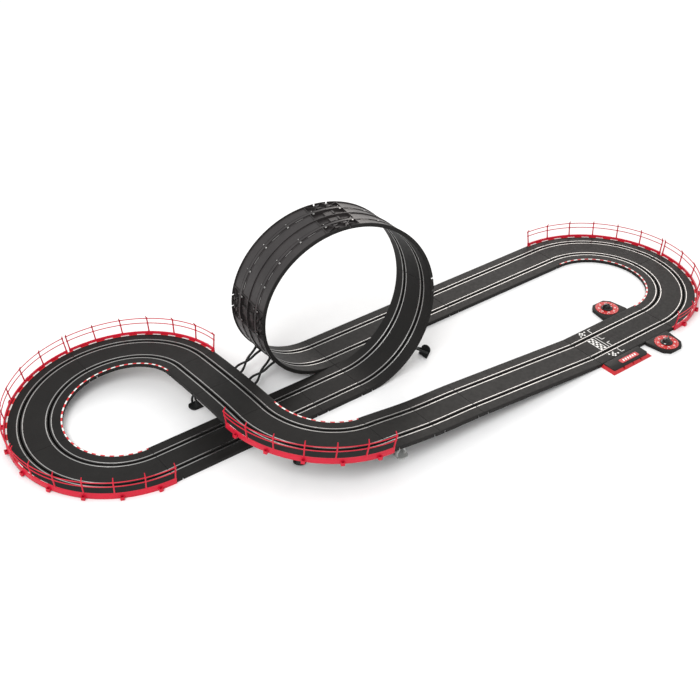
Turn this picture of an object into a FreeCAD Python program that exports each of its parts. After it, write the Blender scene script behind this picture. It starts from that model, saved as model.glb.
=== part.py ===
import FreeCAD, Part
import math
import os

import Sketcher

# Two-lane slot car track: a closed circuit with a loop, a flyover and a start section.
#
# Frame: X along the straights, Y towards the back straight, Z up, in millimetres. The floor is Z = 0.
# A car drives forward along +X on the front straight, round the right bends, back along -X, through
# the loop, round the left bends on a rising ramp, over the flyover and down to the front again.

Vector = FreeCAD.Vector
OUT = "parts"
os.makedirs(OUT, exist_ok=True)
doc = FreeCAD.newDocument("slot_car_track")

# ---------------------------------------------------------------- driving dimensions

DIMENSIONS = {
    # layout: every length is a multiple of the 57 mm lane spacing
    "lane_spacing": 57.0,
    "bend_radius": 171.0,
    "loop_half_wide": 176.0,
    "loop_half_high": 180.0,
    "loop_lean": -3.8,
    "long_run": 342.0,
    "short_run": 114.0,
    "start_run": 228.0,
    "shift_east": 570.0,
    "shift_north": -260.9,
    "joint_gap": 0.2,
    # cross-section of the deck
    "deck_width": 113.4,
    "deck_depth": 8.0,
    "deck_skin": 2.0,
    "deck_wall": 2.0,
    "rib_width": 2.0,
    "slot_width": 3.0,
    "slot_depth": 6.0,
    "channel_wall": 1.4,
    "channel_floor": 1.2,
    "strip_offset": 5.5,
    "strip_width": 2.0,
    "strip_depth": 1.0,
    "strip_proud": 0.25,
    "strip_fit": 0.05,
    # panels over the hollow underside of the loop's sections
    "panel_depth": 5.8,
    "panel_clear": 34.0,
    # joint tongues under the deck
    "tongue_width": 14.0,
    "tongue_reach": 11.0,
    "tongue_thick": 2.4,
    "tongue_offset": 6.0,
    # height of the deck top above its height on the floor, at the joints of the raised part
    "rise_left_one": 6.5,
    "rise_left_two": 36.5,
    "rise_left_three": 69.0,
    "rise_flyover_end": 79.3,
    "rise_front_one": 55.3,
    "rise_front_two": 40.3,
    "rise_front_three": 32.2,
    # guard rails
    "guard_gap": 0.4,
    "guard_thick": 2.4,
    "guard_band_top": 5.0,
    "guard_band_low": 8.0,
    "guard_mid_high": 24.0,
    "guard_top_high": 35.0,
    "guard_post_high": 43.0,
    "guard_rod": 2.2,
    "guard_lean": 6.0,
    "guard_tab_width": 12.0,
    "guard_tab_drop": 7.0,
    # start section: lap counters and housing
    "counter_place": 57.0,
    "counter_reach": 29.0,
    "tab_root_half": 37.0,
    "tab_tip_half": 29.0,
    "tab_length": 57.0,
    "tab_corner": 12.0,
    "ring_outer": 26.0,
    "ring_inner": 13.5,
    "ring_thick": 0.9,
    "knob_radius": 8.5,
    "knob_high": 9.0,
    "knob_lift": 0.3,
    "shaft_radius": 2.95,
    "shaft_fit": 0.05,
    "screw_radius": 1.2,
    "housing_left": 230.0,
    "housing_length": 118.0,
    "housing_reach": 37.0,
    "housing_flare": 6.0,
    "housing_wall": 1.6,
    "housing_floor": 1.4,
    "cover_thick": 2.0,
    "power_bore": 1.75,
    "control_bore": 1.25,
    "jack_length": 11.0,
    "jack_bore_length": 9.0,
    "board_thick": 1.2,
    # legs under the ramp and the loop
    "foot_long": 26.0,
    "foot_wide": 26.0,
    "foot_thick": 3.0,
    "bar_width": 4.4,
    "bar_thick": 4.0,
    "bar_spread": 9.0,
    "bar_wave": 2.0,
    "cap_long": 22.0,
    "cap_wide": 8.0,
    "cap_high": 3.0,
    "flyover_leg_step": 47.0,
    "flyover_leg_offset": 25.0,
    "front_leg_step": 110.0,
    "front_leg_offset": 20.0,
    "ramp_leg_step": 46.0,
    "ramp_leg_offset": 22.0,
    "left_leg_low_step": 215.0,
    "left_leg_high_step": 43.0,
    "left_leg_offset": 30.0,
    "loop_leg_angle": 42.5,
    "loop_leg_slope": 32.5,
    "loop_leg_back": -45.5,
    "loop_leg_front": 6.0,
    "loop_leg_right": 25.5,
}

sheet = doc.addObject("Spreadsheet::Sheet", "Dims")
for row, (alias, number) in enumerate(DIMENSIONS.items(), start=1):
    sheet.set("A%d" % row, alias)
    sheet.set("B%d" % row, str(number))
    sheet.setAlias("B%d" % row, alias)
doc.recompute()


class Size:
    """A length worked out from the sheet: its formula, and its value now."""

    def __init__(self, formula, value):
        self.formula = formula
        self.value = value

    def __add__(self, other):
        other = size(other)
        return Size("(%s + %s)" % (self.formula, other.formula), self.value + other.value)

    def __sub__(self, other):
        other = size(other)
        return Size("(%s - %s)" % (self.formula, other.formula), self.value - other.value)

    def __mul__(self, factor):
        return Size("(%s * %s)" % (self.formula, factor), self.value * factor)

    def __neg__(self):
        return self * -1


def size(thing):
    """A Size from a Size, the name of a sheet cell, or a plain number."""
    if isinstance(thing, Size):
        return thing
    if isinstance(thing, str):
        return Size("Dims.%s" % thing, float(getattr(sheet, thing)))
    return Size("%s" % thing, float(thing))


def value(name):
    return size(name).value


# ---------------------------------------------------------------- bodies, sketches and features

SUBPARTS = []


def keep(thing, name):
    """Label a finished sub-part; its label names its file."""
    thing.Label = name
    SUBPARTS.append(thing)
    return thing


def new_body(name):
    return keep(doc.addObject("PartDesign::Body", name), name)


def new_sketch(body, name, role="XY_Plane", lift=None):
    """A sketch on one of the body's own origin planes, lifted off it by a Size."""
    sketch = body.newObject("Sketcher::SketchObject", name)
    for plane in body.Origin.OriginFeatures:
        if plane.Role == role:
            sketch.AttachmentSupport = [(plane, "")]
    sketch.MapMode = "FlatFace"
    if lift is not None:
        sketch.setExpression("AttachmentOffset.Base.z", lift.formula)
    return sketch


def draw_polygon(sketch, corners):
    """A closed outline whose corners are tied to the sheet, each a pair of Sizes."""
    first = sketch.GeometryCount
    count = len(corners)
    for i in range(count):
        start = corners[i]
        end = corners[(i + 1) % count]
        sketch.addGeometry(Part.LineSegment(Vector(start[0].value, start[1].value, 0),
                                            Vector(end[0].value, end[1].value, 0)), False)
    for i in range(count):
        after = first + (i + 1) % count
        sketch.addConstraint(Sketcher.Constraint("Coincident", first + i, 2, after, 1))
    for i, corner in enumerate(corners):
        for kind, place in (("DistanceX", corner[0]), ("DistanceY", corner[1])):
            index = sketch.addConstraint(Sketcher.Constraint(kind, first + i, 1, place.value))
            sketch.setExpression("Constraints[%d]" % index, place.formula)


def draw_box(sketch, left, right, low, high):
    draw_polygon(sketch, [(left, low), (right, low), (right, high), (left, high)])


def draw_circle(sketch, east, north, radius):
    """A circle whose centre and radius are tied to the sheet."""
    index = sketch.addGeometry(Part.Circle(Vector(east.value, north.value, 0), Vector(0, 0, 1),
                                           radius.value), False)
    for kind, place in (("DistanceX", east), ("DistanceY", north)):
        row = sketch.addConstraint(Sketcher.Constraint(kind, index, 3, place.value))
        sketch.setExpression("Constraints[%d]" % row, place.formula)
    row = sketch.addConstraint(Sketcher.Constraint("Radius", index, radius.value))
    sketch.setExpression("Constraints[%d]" % row, radius.formula)


def pad(body, sketch, name, length, backwards=False):
    feature = body.newObject("PartDesign::Pad", name)
    feature.Profile = sketch
    feature.setExpression("Length", length.formula)
    feature.Reversed = backwards
    body.Tip = feature
    doc.recompute()
    return feature


def pocket(body, sketch, name, length, backwards=False):
    """Cut a pocket, and stop if it takes nothing away."""
    before = body.Shape.Volume
    feature = body.newObject("PartDesign::Pocket", name)
    feature.Profile = sketch
    feature.setExpression("Length", length.formula)
    feature.Reversed = backwards
    body.Tip = feature
    doc.recompute()
    if body.Shape.Volume > before - 0.01:
        raise RuntimeError("%s cuts nothing" % name)
    return feature


def place(thing, east, north, up, turn=0.0):
    thing.Placement = FreeCAD.Placement(Vector(east, north, up), FreeCAD.Rotation(Vector(0, 0, 1), turn))


def feature(name, shape):
    """A sub-part whose shape is set here, because no sketch or primitive makes it."""
    thing = doc.addObject("Part::Feature", name)
    thing.Shape = shape
    return keep(thing, name)


# ---------------------------------------------------------------- layout of the circuit

GRID = value("lane_spacing")
BEND = value("bend_radius")
LOOP = value("loop_half_wide")
LONG = value("long_run")
SHORT = value("short_run")
START = value("start_run")
HALF = value("deck_width") / 2
DEPTH = value("deck_depth")
EAST = value("shift_east")
NORTH = value("shift_north")
TOP = DEPTH
GAP = value("joint_gap")

# the four lines that the straights lie on
FRONT_LINE = NORTH
EXIT_LINE = NORTH + 4 * GRID
BACK_LINE = NORTH + 6 * GRID
# where the right bends start, the loop stands and the left bends start
RIGHT_END = EAST
LOOP_EAST = EAST - 12 * GRID
LEFT_END = EAST - 20 * GRID
FLYOVER_EAST = LEFT_END + BEND
FLYOVER_START = EXIT_LINE + BEND
FRONT_START = EAST - 14 * GRID

QUARTER = BEND * math.pi / 2
LOOP_QUARTER = LOOP * math.pi / 2
RAMP = [
    (0.0, 0.0),
    (QUARTER, value("rise_left_one")),
    (2 * QUARTER, value("rise_left_two")),
    (3 * QUARTER, value("rise_left_three")),
    (3 * QUARTER + 2 * SHORT, value("rise_flyover_end")),
    (4 * QUARTER + 2 * SHORT, value("rise_front_one")),
    (4 * QUARTER + 3 * SHORT, value("rise_front_two")),
    (4 * QUARTER + 4 * SHORT, value("rise_front_three")),
    (4 * QUARTER + 4 * SHORT + LONG, 0.0),
]


def ramp_slope(i):
    """Slope of the ramp at its joint i: level at its start, and even along its last straight."""
    if i == 0:
        return 0.0
    last = len(RAMP) - 1
    first, second = (i - 1, i + 1) if i < last - 1 else (last - 1, last)
    return (RAMP[second][1] - RAMP[first][1]) / (RAMP[second][0] - RAMP[first][0])


def rise(run):
    """Height and slope of the deck at a distance along the ramp, smooth through every joint."""
    for i in range(len(RAMP) - 1):
        start, low = RAMP[i]
        end, high = RAMP[i + 1]
        if run <= end or i == len(RAMP) - 2:
            span = end - start
            part = (run - start) / span
            begin, finish = ramp_slope(i) * span, ramp_slope(i + 1) * span
            cubic = 2 * low + begin - 2 * high + finish
            square = -3 * low - 2 * begin + 3 * high - finish
            height = low + begin * part + square * part ** 2 + cubic * part ** 3
            slope = (begin + 2 * square * part + 3 * cubic * part ** 2) / span
            return height, slope


class Station:
    """A place on the deck's middle line, with its forward, left and up directions."""

    def __init__(self, point, forward, left):
        self.point = point
        self.forward = forward.normalize()
        self.left = left.normalize()
        self.up = self.forward.cross(self.left)

    def at(self, left, up, ahead=0.0):
        return self.point + self.left * left + self.up * up + self.forward * ahead


def line_station(east, north, heading, along, run=None):
    """A station on a straight that starts at east, north; run is its distance along the ramp."""
    angle = math.radians(heading)
    height, slope = rise(run + along) if run is not None else (0.0, 0.0)
    point = Vector(east + along * math.cos(angle), north + along * math.sin(angle), TOP + height)
    forward = Vector(math.cos(angle), math.sin(angle), slope)
    return Station(point, forward, Vector(-math.sin(angle), math.cos(angle), 0))


def bend_station(east, north, heading, turn, along, run=None):
    """A station on a bend about east, north: turn is 1 for a left bend and -1 for a right one."""
    height, slope = rise(run + along) if run is not None else (0.0, 0.0)
    angle = math.radians(heading) + turn * along / BEND
    out = Vector(math.sin(angle), -math.cos(angle), 0) * turn
    point = Vector(east, north, TOP + height) + out * BEND
    forward = Vector(math.cos(angle), math.sin(angle), slope)
    return Station(point, forward, Vector(-math.sin(angle), math.cos(angle), 0))


def loop_station(angle):
    """A station in the loop, which leans a little and moves over from the back line to the exit line."""
    part = angle / (2 * math.pi)
    ease = part ** 3 * (10 - 15 * part + 6 * part ** 2)
    ease_slope = 30 * part ** 2 * (1 - part) ** 2 / (2 * math.pi)
    shift, lean, high = EXIT_LINE - BACK_LINE, value("loop_lean") / 2, value("loop_half_high")
    point = Vector(LOOP_EAST + lean * (1 - math.cos(angle)) - LOOP * math.sin(angle),
                   BACK_LINE + shift * ease, TOP + high * (1 - math.cos(angle)))
    forward = Vector(lean * math.sin(angle) - LOOP * math.cos(angle), shift * ease_slope,
                     high * math.sin(angle)).normalize()
    across = Vector(0, -1, 0)
    return Station(point, forward, across - forward * across.dot(forward))


def stations(maker, length, count):
    """Evenly spaced stations of one deck, which stops half a joint gap short at each end.

    Everything that lies on one deck is made through the same stations, so its facets stay parallel.
    """
    first, last = GAP / 2, length - GAP / 2
    return [maker(first + (last - first) * i / (count - 1)) for i in range(count)]


# ---------------------------------------------------------------- cross-sections

def deck_outline():
    """The deck across its width: left is +, up is +, and its top is at 0."""
    half = size("deck_width") * 0.5
    lane = size("lane_spacing") * 0.5
    skin, depth, rib = -size("deck_skin"), -size("deck_depth"), size("rib_width") * 0.5
    inner = half - "deck_wall"
    slot, slot_low = size("slot_width") * 0.5, -size("slot_depth")
    channel = slot + "channel_wall"
    channel_low = slot_low - "channel_floor"
    groove = size("strip_width") * 0.5 + "strip_fit"
    groove_low = -size("strip_depth")
    zero = size(0)
    corners = [(-half, zero)]
    for middle in (-lane, lane):
        for centre, wide, low in ((middle - "strip_offset", groove, groove_low),
                                  (middle, slot, slot_low),
                                  (middle + "strip_offset", groove, groove_low)):
            corners += [(centre - wide, zero), (centre - wide, low),
                        (centre + wide, low), (centre + wide, zero)]
    corners += [(half, zero), (half, depth), (inner, depth), (inner, skin)]
    corners += [(lane + channel, skin), (lane + channel, channel_low),
                (lane - channel, channel_low), (lane - channel, skin)]
    corners += [(rib, skin), (rib, depth), (-rib, depth), (-rib, skin)]
    corners += [(-lane + channel, skin), (-lane + channel, channel_low),
                (-lane - channel, channel_low), (-lane - channel, skin)]
    corners += [(-inner, skin), (-inner, depth), (-half, depth)]
    return corners


def strip_outlines():
    """The four metal strips of a deck, each lying in its groove."""
    outlines = []
    for side in (-1, 1):
        for edge in (-1, 1):
            centre = size("lane_spacing") * (0.5 * side) + size("strip_offset") * edge
            half = size("strip_width") * 0.5
            low, high = -size("strip_depth"), size("strip_proud")
            outlines.append([(centre - half, low), (centre + half, low),
                             (centre + half, high), (centre - half, high)])
    return outlines


def loft(outline, places):
    """A solid with one outline, in millimetres, at each of the given stations."""
    wires = []
    for station in places:
        points = [station.at(left, up) for left, up in outline]
        wires.append(Part.makePolygon(points + points[:1]))
    return Part.makeLoft(wires, True, True)


def plain(outline):
    return [(left.value, up.value) for left, up in outline]


def solid_box(station, left, right, low, high, back, ahead):
    """A box in the directions of a station."""
    box = [station.at(left, low, back), station.at(right, low, back),
           station.at(right, high, back), station.at(left, high, back)]
    face = Part.Face(Part.makePolygon(box + box[:1]))
    return face.extrude(station.forward * (ahead - back))


def tongues(station):
    """Two tongues under the end of a deck, which reach into the hollow of the next one."""
    low = -value("deck_skin") - 0.4 - value("tongue_thick")
    reach = value("tongue_reach")
    pieces = []
    for side in (-1, 1):
        edges = sorted((side * value("tongue_offset"),
                        side * (value("tongue_offset") + value("tongue_width"))))
        pieces.append(solid_box(station, edges[0], edges[1], low, -value("deck_skin") - 0.4,
                                -reach, reach))
        pieces.append(solid_box(station, edges[0], edges[1], low, -value("deck_skin") + 0.5,
                                -reach, -GAP))
    return pieces


# ---------------------------------------------------------------- decks and their strips

STRIPS = {}
BEND_STATIONS = 17


def add_strips(group, shapes):
    STRIPS.setdefault(group, []).extend(shapes)


def back_panels(maker, length):
    """Two panels that close the hollow underside of a deck, clear of its joints."""
    clear = value("panel_clear")
    row = [maker(clear + (length - 2 * clear) * i / (BEND_STATIONS - 1)) for i in range(BEND_STATIONS)]
    near, far = value("rib_width") / 2 - 0.5, HALF - value("deck_wall") + 0.5
    low, high = -value("panel_depth"), -value("deck_skin") + 0.5
    return [loft([(side * near, low), (side * far, low), (side * far, high), (side * near, high)], row)
            for side in (-1, 1)]


def shaped_deck(name, group, maker, length, count=BEND_STATIONS, backed=False):
    """A deck that climbs, or turns in the loop, made through a row of stations."""
    row = stations(maker, length, count)
    deck = loft(plain(deck_outline()), row)
    additions = tongues(maker(length))
    if backed:
        additions += back_panels(maker, length)
    feature(name, deck.fuse(additions))
    add_strips(group, [loft(plain(outline), row) for outline in strip_outlines()])


def flat_straight(name, group, east, north, heading, length):
    """A deck lying on the floor, padded from its cross-section."""
    body = new_body(name)
    sketch = new_sketch(body, name + "_section", "YZ_Plane")
    draw_polygon(sketch, deck_outline())
    pad(body, sketch, name + "_deck", length - "joint_gap")
    low = -size("deck_skin") - 0.4 - "tongue_thick"
    reach = size("tongue_reach")
    for side, word in ((1, "left"), (-1, "right")):
        near = size("tongue_offset") * side
        far = (size("tongue_offset") + "tongue_width") * side
        root = new_sketch(body, "%s_%s_tongue" % (name, word), "XY_Plane", low)
        draw_box(root, length - reach, length + reach, near, far)
        pad(body, root, "%s_%s_reach" % (name, word), size("tongue_thick"))
        boss = new_sketch(body, "%s_%s_boss" % (name, word), "XY_Plane", low)
        draw_box(boss, length - reach, length - "joint_gap", near, far)
        pad(body, boss, "%s_%s_root" % (name, word), size("tongue_thick") + 0.6)
    angle = math.radians(heading)
    place(body, east + GAP / 2 * math.cos(angle), north + GAP / 2 * math.sin(angle), TOP, heading)
    maker = lambda along: line_station(east, north, heading, along)
    row = stations(maker, length.value, 2)
    add_strips(group, [loft(plain(outline), row) for outline in strip_outlines()])
    return body


def flat_bend(name, group, east, north, heading):
    """A quarter bend lying on the floor, turned from its cross-section about the bend's centre."""
    body = new_body(name)
    sketch = new_sketch(body, name + "_section", "XZ_Plane")
    outline = [(size("bend_radius") - left, up) for left, up in deck_outline()]
    draw_polygon(sketch, outline)
    turn = body.newObject("PartDesign::Revolution", name + "_turn")
    turn.Profile = sketch
    turn.ReferenceAxis = (sketch, ["V_Axis"])
    gap_angle = math.degrees(GAP / BEND)
    turn.Angle = 90 - gap_angle
    turn.Reversed = False
    body.Tip = turn
    doc.recompute()
    # the section stands at 0 degrees, so the bend's start is turned back to the heading
    place(body, east, north, TOP, heading - 90 + gap_angle / 2)
    maker = lambda along: bend_station(east, north, heading, 1, along)
    row = stations(maker, QUARTER, 2)
    arc = FreeCAD.Placement(Vector(east, north, 0), FreeCAD.Rotation(Vector(0, 0, 1), 0))
    strips = []
    for outline in strip_outlines():
        points = [row[0].at(left.value, up.value) for left, up in outline]
        face = Part.Face(Part.makePolygon(points + points[:1]))
        strips.append(face.revolve(arc.Base, Vector(0, 0, 1), 90 - gap_angle))
    add_strips(group, strips)
    return body


# ---------------------------------------------------------------- guard rails

POSTS = 7
CLIPS = 5


def guard_lean(high):
    """How far a guard rail leans out at a height above the deck."""
    return value("guard_lean") * max(high, 0.0) / value("guard_post_high")


def guard_rail(name, maker, side):
    """A clip-on rail along a quarter bend's outer edge: band, two rods, posts and clips."""
    row = stations(maker, QUARTER, BEND_STATIONS)
    inside = HALF + value("guard_gap")
    thick = value("guard_thick")
    rod = value("guard_rod") / 2

    def outward(outline):
        return [(side * out, up) for out, up in outline]

    low, high = -value("guard_band_low") + 0.3, value("guard_band_top")
    band = [(inside, low), (inside + thick, low), (inside + thick, high), (inside, high)]
    pieces = [loft(outward(band), row)]
    for level in (value("guard_mid_high"), value("guard_top_high")):
        centre = inside + thick / 2 + guard_lean(level)
        edge = [(centre - rod, level - rod), (centre + rod, level - rod),
                (centre + rod, level + rod), (centre - rod, level + rod)]
        pieces.append(loft(outward(edge), row))
    top = value("guard_post_high")
    lean = guard_lean(top)
    post = [(inside, 0.0), (inside + thick, 0.0), (inside + thick + lean, top), (inside + lean, top)]
    half_post = value("guard_rod") * 0.7
    for i in range(POSTS):
        along = half_post + GAP + (QUARTER - 2 * half_post - 2 * GAP) * i / (POSTS - 1)
        station = maker(along)
        points = [station.at(side * out, up, -half_post) for out, up in post]
        face = Part.Face(Part.makePolygon(points + points[:1]))
        pieces.append(face.extrude(station.forward * (2 * half_post)))
    half_clip = value("guard_tab_width") / 2
    for i in range(CLIPS):
        station = maker(QUARTER * (i + 0.5) / CLIPS)
        edges = sorted((side * (inside + thick / 2), side * (inside + thick + value("guard_tab_drop"))))
        pieces.append(solid_box(station, edges[0], edges[1], low, low + thick, -half_clip, half_clip))
    feature(name, pieces[0].fuse(pieces[1:]))


# ---------------------------------------------------------------- legs

def wavy_bar(foot, cap, across, spread, wave, phase):
    """One bar of a leg, from foot to cap, which sways and crosses its partner halfway."""
    length = (cap - foot).Length
    axis = (cap - foot).normalize()
    half = value("bar_width") / 2
    count = 12
    edges = []
    for edge in (-half, half):
        points = []
        for i in range(count + 1):
            part = i / count
            sway = spread * math.cos(math.pi * part) + wave * math.sin(3 * math.pi * part)
            points.append(foot + axis * (length * part) + across * (phase * sway + edge))
        curve = Part.BSplineCurve()
        curve.interpolate(points)
        edges.append(curve)
    first, second = edges
    ends = [first.StartPoint, first.EndPoint, second.EndPoint, second.StartPoint]
    wire = Part.Wire([first.toShape(), Part.makeLine(ends[1], ends[2]), second.toShape(),
                      Part.makeLine(ends[3], ends[0])])
    thick = value("bar_thick")
    normal = axis.cross(across)
    face = Part.Face(wire)
    bar = face.extrude(normal * thick)
    bar.translate(normal * (-thick / 2))
    return bar


def foot_plate(centre, outward, across, normal):
    """A foot pad with one round end, standing on centre with its thickness along normal."""
    half_wide, half_long = value("foot_wide") / 2, value("foot_long") / 2
    corners = [centre + across * -half_wide + outward * -half_long,
               centre + across * half_wide + outward * -half_long,
               centre + across * half_wide + outward * (half_long * 0.55),
               centre + across * -half_wide + outward * (half_long * 0.55)]
    tip = centre + outward * half_long
    arc = Part.Arc(corners[2], tip, corners[3]).toShape()
    wire = Part.Wire([Part.makeLine(corners[0], corners[1]), Part.makeLine(corners[1], corners[2]),
                      arc, Part.makeLine(corners[3], corners[0])])
    return Part.Face(wire).extrude(normal * value("foot_thick"))


def upright_leg(name, station, left, outward_sign=1.0):
    """A leg under the ramp: a flat foot, two crossed bars and a cap just under the deck."""
    across = Vector(station.forward.x, station.forward.y, 0).normalize()
    outward = across.cross(Vector(0, 0, 1)) * -outward_sign
    under = station.at(left, -DEPTH - 0.3)
    base = Vector(under.x, under.y, 0)
    pieces = [foot_plate(base, outward, across, Vector(0, 0, 1))]
    low = base + Vector(0, 0, value("foot_thick") - 0.5)
    high = under - station.up * (value("cap_high") - 0.5)
    spread = min(value("bar_spread"), (high - low).Length * 0.35)
    for phase in (-1, 1):
        pieces.append(wavy_bar(low, high, across, spread, value("bar_wave"), phase))
    long, wide = value("cap_long") / 2, value("cap_wide") / 2
    pieces.append(solid_box(station, left - wide, left + wide, -DEPTH - 0.3 - value("cap_high"),
                            -DEPTH - 0.3, -long, long))
    return feature(name, pieces[0].fuse(pieces[1:]))


def loop_leg(name, angle, left):
    """A slanting leg from the loop's underside out to a tilted foot on the floor."""
    station = loop_station(math.radians(angle))
    top = station.at(left, -DEPTH - 0.3)
    away = -1.0 if angle < 180 else 1.0
    slope = math.radians(value("loop_leg_slope"))
    run = Vector(away * math.cos(slope), 0, -math.sin(slope))
    face_up = run * -1
    plate_side = Vector(away * math.sin(slope), 0, math.cos(slope))
    half_long = value("foot_long") / 2
    # the pad's lower edge meets the floor
    drop = top.z - half_long * math.cos(slope)
    length = drop / math.sin(slope)
    across = Vector(0, 1, 0)
    foot = top + run * length
    pad_face = foot_plate(foot, plate_side, across, face_up)
    low = foot + face_up * (value("foot_thick") - 0.5)
    high = top - run * -1.0
    pieces = [pad_face]
    for phase in (-1, 1):
        pieces.append(wavy_bar(low, high, across, value("bar_spread"), value("bar_wave"), phase))
    long, wide = value("cap_long") / 2, value("cap_wide") / 2
    pieces.append(solid_box(station, left - long, left + long, -DEPTH - 0.3 - value("cap_high"),
                            -DEPTH - 0.3, -wide, wide))
    return feature(name, pieces[0].fuse(pieces[1:]))


# ---------------------------------------------------------------- start section

def counter_centre():
    """Place of the lap counters along the start section, from its own end."""
    return size("start_run") - "counter_place" - size("joint_gap") * 0.5


def lap_tab_corners(side):
    """A lap counter's tab: wide where it meets the deck, narrower at its tip."""
    centre = counter_centre()
    root, tip = size("tab_root_half"), size("tab_tip_half")
    near = (size("deck_width") * 0.5 - 3) * side
    far = (size("deck_width") * 0.5 + "tab_length") * side
    cut = size("tab_corner")
    bevel = far - cut * side
    return [(centre - root, near), (centre + root, near), (centre + tip, bevel),
            (centre + tip - cut, far), (centre - tip + cut, far), (centre - tip, bevel)]


def start_section():
    """The section with the start line: a flat straight with two lap counter tabs."""
    body = flat_straight("start_section", "strips_front", RIGHT_END - START, FRONT_LINE, 0,
                         size("start_run"))
    for side, word in ((1, "inner"), (-1, "outer")):
        plate = new_sketch(body, "tab_%s" % word, "XY_Plane", -size("deck_skin"))
        draw_polygon(plate, lap_tab_corners(side))
        pad(body, plate, "tab_%s_plate" % word, size("deck_skin"))
        centre = counter_centre()
        middle = (size("deck_width") * 0.5 + "counter_reach") * side
        rim = new_sketch(body, "rim_%s" % word, "XY_Plane", -size("deck_depth"))
        draw_circle(rim, centre, middle, size("ring_outer") + 1.5)
        draw_circle(rim, centre, middle, size("ring_outer") - 0.5)
        pad(body, rim, "rim_%s_wall" % word, size("deck_depth") - 0.5)
        boss = new_sketch(body, "boss_%s" % word, "XY_Plane", -size("deck_depth") + 3)
        draw_circle(boss, centre, middle, size("shaft_radius") + 3)
        pad(body, boss, "boss_%s_wall" % word, size("deck_depth") - 3.5)
        hole = new_sketch(body, "hole_%s" % word, "XY_Plane")
        draw_circle(hole, centre, middle, size("shaft_radius") + "shaft_fit")
        pocket(body, hole, "hole_%s_cut" % word, size("deck_depth") + 1)
    return body


def lap_counter(word, side):
    """A printed ring and a turning knob whose shaft runs in the tab's boss."""
    east = EAST - value("counter_place")
    north = FRONT_LINE + side * (HALF + value("counter_reach"))
    outer = doc.addObject("Part::Cylinder", "ring_outer_" + word)
    outer.setExpression("Radius", "Dims.ring_outer")
    outer.setExpression("Height", "Dims.ring_thick")
    inner = doc.addObject("Part::Cylinder", "ring_inner_" + word)
    inner.setExpression("Radius", "Dims.ring_inner")
    inner.setExpression("Height", "Dims.ring_thick")
    ring = doc.addObject("Part::Cut", "counter_ring_" + word)
    ring.Base = outer
    ring.Tool = inner
    place(ring, east, north, TOP)
    keep(ring, "counter_ring_" + word)

    knob = new_body("lap_knob_" + word)
    half = new_sketch(knob, "knob_profile_" + word, "XZ_Plane")
    zero, lift = size(0), size("knob_lift")
    radius, shaft = size("knob_radius"), size("shaft_radius")
    top = lift + "knob_high"
    draw_polygon(half, [(zero, -size("deck_depth") + 3.4), (shaft, -size("deck_depth") + 3.4),
                        (shaft, lift), (size("ring_inner") - 1.0, lift),
                        (size("ring_inner") - 1.0, lift + 1.6), (radius, lift + 2.6),
                        (radius - 1.5, top), (zero, top)])
    turn = knob.newObject("PartDesign::Revolution", "knob_turn_" + word)
    turn.Profile = half
    turn.ReferenceAxis = (half, ["V_Axis"])
    turn.Angle = 360
    knob.Tip = turn
    doc.recompute()
    fin = new_sketch(knob, "knob_fin_" + word, "XY_Plane", lift + 1)
    draw_box(fin, -radius - 3, radius - 3, size(-2.2), size(2.2))
    pad(knob, fin, "knob_pointer_" + word, size("knob_high") + 1)
    pilot = new_sketch(knob, "knob_pilot_" + word, "XY_Plane", -size("deck_depth") + 3.4)
    draw_circle(pilot, zero, zero, size("screw_radius"))
    pocket(knob, pilot, "knob_pilot_cut_" + word, size(6.0), True)
    place(knob, east, north, TOP, 200 if side < 0 else -20)

    head = doc.addObject("Part::Cylinder", "screw_head_" + word)
    head.setExpression("Radius", "Dims.shaft_radius + 1.4")
    head.Height = 1.4
    head.Placement.Base = Vector(0, 0, -1.4)
    shank = doc.addObject("Part::Cylinder", "screw_shank_" + word)
    shank.setExpression("Radius", "Dims.screw_radius")
    shank.Height = 5.0
    screw = doc.addObject("Part::MultiFuse", "knob_screw_" + word)
    screw.Shapes = [head, shank]
    place(screw, east, north, TOP - DEPTH + 3.4 - 0.45)
    keep(screw, "knob_screw_" + word)


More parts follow.
